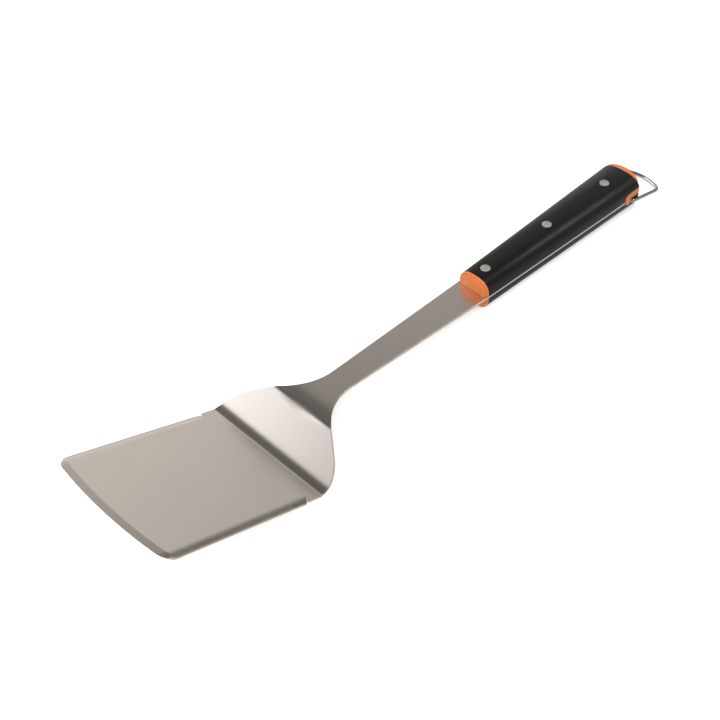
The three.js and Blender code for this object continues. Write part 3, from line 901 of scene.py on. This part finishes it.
# Drawn stainless wire, tumbled bright: a clear mirror with faint dents and duller spots.
polished_wire, tree, shader = new_material(
    "bright_drawn_stainless_wire",
    {"Base Color": linear("#CFCBC6"), "Metallic": 1.0, "Roughness": 0.14},
)
TUMBLING_MARK = 0.0006
place = add_node(tree, "ShaderNodeTexCoord").outputs["Object"]
marks = noise(tree, place, 2 * TUMBLING_MARK, 3)
link_patterns(tree, shader, {
    "Roughness": mapped(tree, marks, (0.3, 0.7), (0.1, 0.22)),
    "Normal": grained(tree, marks, 0.08, 0.00004),
})

bent_wire = wire_loop.modifiers.new("wire", "NODES")
bent_wire.node_group = wire_tree
set_inputs(bent_wire, {"Wire Radius": WIRE_RADIUS, "Finish": polished_wire})
apply_modifiers(wire_loop)
smooth(wire_loop, sharp_beyond=50)
settle(wire_loop, polished_wire, "loop", ["hanging_loop"])

# ---------- Floor and light ----------
# A matt white table in a pale room, with two soft boxes that light its matt surfaces. The metal and
# the plastic mirror a darker room, in which a bright screen stands beyond the blade and a window is
# over the near side. They mirror the table dimmer than it looks, too.
floor_bm = bmesh.new()
bmesh.ops.create_grid(floor_bm, x_segments=1, y_segments=1, size=4)
floor = object_from(floor_bm, "floor")
floor_paint, tree, shader = new_material(
    "matt_white_table",
    {"Base Color": linear("#F4F3F1"), "Roughness": 0.9, "Emission Color": linear("#FFFFFF"),
     "Emission Strength": 0.4},
)
FLOOR_IN_MIRRORS = 0.6
ray = add_node(tree, "ShaderNodeLightPath").outputs
dim = add_node(tree, "ShaderNodeEmission", {"Strength": FLOOR_IN_MIRRORS})
seen = add_node(tree, "ShaderNodeMixShader", {
    0: ray["Is Camera Ray"], 1: dim.outputs["Emission"], 2: shader.outputs["BSDF"],
})
tree.links.new(seen.outputs["Shader"], tree.nodes["Material Output"].inputs["Surface"])
floor.data.materials.append(floor_paint)

world = bpy.data.worlds.new("studio")
bpy.context.scene.world = world
world.use_nodes = True
tree = world.node_tree
room = tree.nodes["Background"]
room.inputs["Color"].default_value = linear("#FFFFFF")
room.inputs["Strength"].default_value = 1.0
direction = add_node(tree, "ShaderNodeTexCoord")
part = add_node(tree, "ShaderNodeSeparateXYZ", {"Vector": direction.outputs["Generated"]})
over = add_node(tree, "ShaderNodeMath", {0: part.outputs["Z"], 1: part.outputs["X"]}, operation="ARCTAN2")
over_share = add_node(tree, "ShaderNodeMath", {0: over.outputs["Value"], 1: math.pi}, operation="DIVIDE")


def grey_ramp(factor, stops):
    """Greys along a factor, from (position, grey) stops."""
    ramp = add_node(tree, "ShaderNodeValToRGB", {"Fac": factor})
    elements = ramp.color_ramp.elements
    elements[0].position, elements[1].position = stops[0][0], stops[-1][0]
    for position, _ in stops[1:-1]:
        elements.new(position)
    for element, (_, grey) in zip(elements, stops):
        element.color = (grey, grey, grey, 1)
    return ramp.outputs["Color"]


def blended(kind, first, second):
    """Two patterns of the room, multiplied or added."""
    return add_node(tree, "ShaderNodeMix", {
        "Factor": 1.0, "A": first, "B": second,
    }, data_type="RGBA", blend_type=kind).outputs["Result"]


# Walls from the handle's horizon over the zenith to the blade's, then from the near to the far side.
arch = grey_ramp(over_share.outputs["Value"], [
    (0.0, 0.45), (0.18, 0.43), (0.25, 0.34), (0.285, 0.29), (0.305, 0.23), (0.33, 0.11), (0.36, 0.075),
    (0.52, 0.07), (0.54, 0.25), (0.8, 0.3), (1.0, 0.19),
])
across_share = mapped(tree, part.outputs["Y"], (-1, 1), (0, 1))
side_fall = grey_ramp(across_share, [
    (0.0, 0.5), (0.2, 0.38), (0.4, 0.12), (0.5, 0.1), (0.6, 0.2), (0.7, 0.44), (0.735, 0.58),
    (0.756, 0.66), (0.77, 0.695), (0.79, 0.77), (0.8125, 0.88), (1.0, 1.0),
])
walls = blended("MULTIPLY", arch, side_fall)
# A bright, slightly cool screen beyond the blade that fades towards the near side.
SCREEN_TINT = (0.95, 0.985, 1.06, 1.0)
screen_over = grey_ramp(over_share.outputs["Value"], [(0.525, 0.0), (0.545, 1.0), (0.85, 1.0), (1.0, 0.4)])
screen_across = grey_ramp(across_share, [
    (0.7, 0.02), (0.745, 0.04), (0.758, 0.11), (0.77, 0.36), (0.787, 0.64), (0.81, 0.85), (1.0, 0.85),
])
screen = blended("MULTIPLY", blended("MULTIPLY", screen_over, screen_across), SCREEN_TINT)
# A window high over the near side, that draws the highlight along the handle. Its edge and its even
# middle are cosines of the angle from its direction.
WINDOW = Vector((0.607, -0.25, 0.75)).normalized()
WINDOW_EDGE = 0.974
WINDOW_MIDDLE = 0.992
WINDOW_BRIGHTNESS = 2.4
facing = add_node(tree, "ShaderNodeVectorMath", {
    0: direction.outputs["Generated"], 1: WINDOW,
}, operation="DOT_PRODUCT")
window = add_node(tree, "ShaderNodeMapRange", {
    "Value": facing.outputs["Value"],
    "From Min": WINDOW_EDGE, "From Max": WINDOW_MIDDLE, "To Max": WINDOW_BRIGHTNESS,
}, interpolation_type="SMOOTHSTEP")
everything = blended("ADD", walls, blended("ADD", screen, window.outputs["Result"]))
ROOM_BRIGHTNESS = 2.0
mirrored_room = add_node(tree, "ShaderNodeBackground", {"Color": everything, "Strength": ROOM_BRIGHTNESS})
ray = add_node(tree, "ShaderNodeLightPath").outputs
either = add_node(tree, "ShaderNodeMixShader", {
    0: ray["Is Glossy Ray"], 1: room.outputs["Background"], 2: mirrored_room.outputs["Background"],
})
tree.links.new(either.outputs["Shader"], tree.nodes["World Output"].inputs["Surface"])


def soft_box(name, aim, direction, distance, width, height, brightness):
    """A soft box seen from the aim point in a direction, evenly bright and hidden from mirrors."""
    lamp = bpy.data.lights.new(name, "AREA")
    lamp.shape = "RECTANGLE"
    lamp.size = width
    lamp.size_y = height
    lamp.energy = brightness * math.pi * width * height
    box = bpy.data.objects.new(name, lamp)
    towards = Vector(direction).normalized()
    box.location = Vector(aim) + towards * distance
    box.rotation_euler = towards.to_track_quat("Z", "Y").to_euler()
    box.visible_camera = False
    box.visible_glossy = False
    bpy.context.collection.objects.link(box)


soft_box("front_soft_box", aim=(0.05, 0, 0.02), direction=(-0.80, -0.20, 0.55), distance=1.0,
         width=0.6, height=0.6, brightness=4.5)
soft_box("near_soft_box", aim=(0.13, 0, 0.02), direction=(0.47, -0.30, 0.83), distance=0.9,
         width=0.5, height=0.3, brightness=0.5)

bpy.context.scene.view_settings.view_transform = "Standard"
